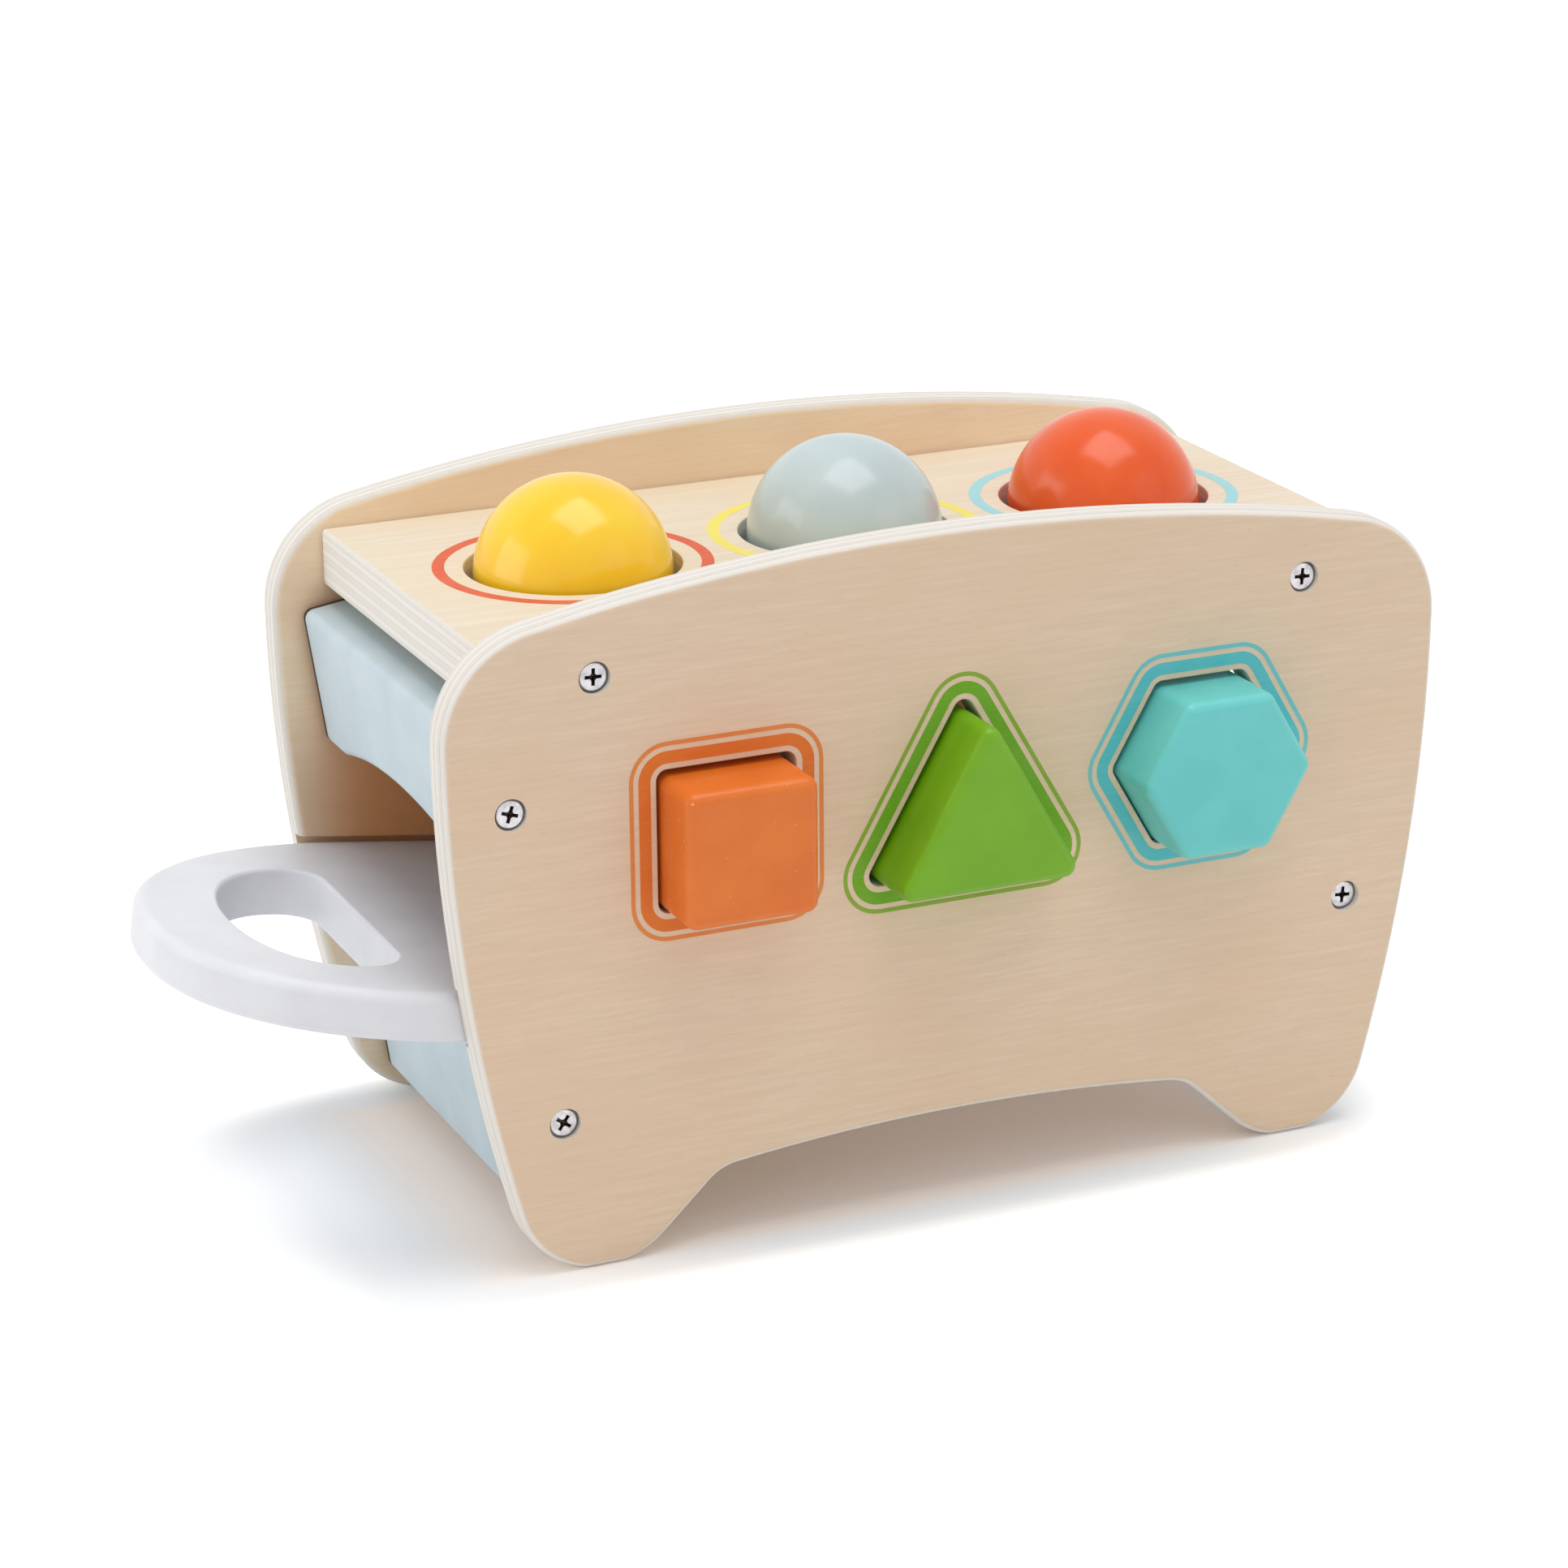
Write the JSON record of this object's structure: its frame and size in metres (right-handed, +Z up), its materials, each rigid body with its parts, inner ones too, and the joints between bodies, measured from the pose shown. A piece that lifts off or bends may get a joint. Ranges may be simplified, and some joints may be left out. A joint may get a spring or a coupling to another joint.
{
  "type": "pounding bench with xylophone",
  "caption": "Wooden pounding bench for a small child: balls are knocked through its top board on to a sloping slide-out xylophone, shaped blocks fit its front panel.",
  "frame": {"origin": "on the floor, under the middle of the bounding box, handle and front blocks included", "axes": "+X along the bench, away from the handle; +Y from the front panel to the back panel; +Z up"},
  "size_m": [0.324, 0.1512, 0.1826],
  "materials": {
    "plywood": "clear satin lacquer on birch plywood",
    "pale_plywood": "clear satin lacquer on pale plywood",
    "pale_blue_paint": "pale blue satin paint on wood",
    "white_paint": "off-white satin paint on wood",
    "yellow_paint": "yellow semi-gloss paint on wood",
    "grey_blue_paint": "grey-blue semi-gloss paint on wood",
    "red_paint": "red-orange semi-gloss paint on wood",
    "orange_paint": "orange semi-gloss paint on wood",
    "green_paint": "green semi-gloss paint on wood",
    "teal_paint": "teal semi-gloss paint on wood",
    "black_rubber": "matte black rubber",
    "grey_felt": "grey wool felt",
    "bar_metal": "satin aluminium",
    "zinc": "bright zinc-plated steel"
  },
  "bodies": {
    "bench": {"front_panel": "plywood", "back_panel": "plywood", "top_board": "pale_plywood", "left_upper_end_board": "pale_blue_paint", "left_lower_end_board": "pale_blue_paint", "right_end_board": "pale_blue_paint", "ball_ring_left": "black_rubber", "ball_ring_middle": "black_rubber", "ball_ring_right": "black_rubber", "front_screw_top_left": "zinc", "front_screw_top_right": "zinc", "front_screw_left_upper": "zinc", "front_screw_left_lower": "zinc", "front_screw_right": "zinc", "back_screw_top_left": "zinc", "back_screw_top_right": "zinc", "back_screw_left_upper": "zinc", "back_screw_left_lower": "zinc", "back_screw_right": "zinc"},
    "tray": {"xylophone_tray": "white_paint", "felt_strip_front": "grey_felt", "felt_strip_back": "grey_felt", "xylophone_bar_1": "bar_metal", "xylophone_bar_2": "bar_metal", "xylophone_bar_3": "bar_metal", "xylophone_bar_4": "bar_metal", "xylophone_bar_5": "bar_metal", "xylophone_bar_6": "bar_metal", "xylophone_bar_7": "bar_metal", "xylophone_bar_8": "bar_metal", "bar_pin_front_1": "zinc", "bar_pin_front_2": "zinc", "bar_pin_front_3": "zinc", "bar_pin_front_4": "zinc", "bar_pin_front_5": "zinc", "bar_pin_front_6": "zinc", "bar_pin_front_7": "zinc", "bar_pin_front_8": "zinc", "bar_pin_back_1": "zinc", "bar_pin_back_2": "zinc", "bar_pin_back_3": "zinc", "bar_pin_back_4": "zinc", "bar_pin_back_5": "zinc", "bar_pin_back_6": "zinc", "bar_pin_back_7": "zinc", "bar_pin_back_8": "zinc"},
    "yellow_ball": {"ball_yellow": "yellow_paint"},
    "grey_ball": {"ball_grey": "grey_blue_paint"},
    "red_ball": {"ball_red": "red_paint"},
    "square": {"square_block": "orange_paint"},
    "triangle": {"triangle_block": "green_paint"},
    "hexagon": {"hexagon_block": "teal_paint"}
  },
  "joints": [
    {"name": "tray_slide", "type": "slide", "parent": "bench", "child": "tray", "axis": [-0.9903, 0, 0.1392], "range_m": [0, 0.2]},
    {"name": "yellow_ball_drop", "type": "slide", "parent": "bench", "child": "yellow_ball", "axis": [0, 0, 1], "range_m": [-0.0571, 0.03], "deforming": ["ball_ring_left"]},
    {"name": "grey_ball_drop", "type": "slide", "parent": "bench", "child": "grey_ball", "axis": [0, 0, 1], "range_m": [-0.0689, 0.03], "deforming": ["ball_ring_middle"]},
    {"name": "red_ball_drop", "type": "slide", "parent": "bench", "child": "red_ball", "axis": [0, 0, 1], "range_m": [-0.0779, 0.03], "deforming": ["ball_ring_right"]},
    {"name": "square_block_slide", "type": "slide", "parent": "bench", "child": "square", "axis": [0, 1, 0], "range_m": [-0.03, 0.016]},
    {"name": "triangle_block_slide", "type": "slide", "parent": "bench", "child": "triangle", "axis": [0, 1, 0], "range_m": [-0.03, 0.016]},
    {"name": "hexagon_block_slide", "type": "slide", "parent": "bench", "child": "hexagon", "axis": [0, 1, 0], "range_m": [-0.03, 0.016]}
  ]
}
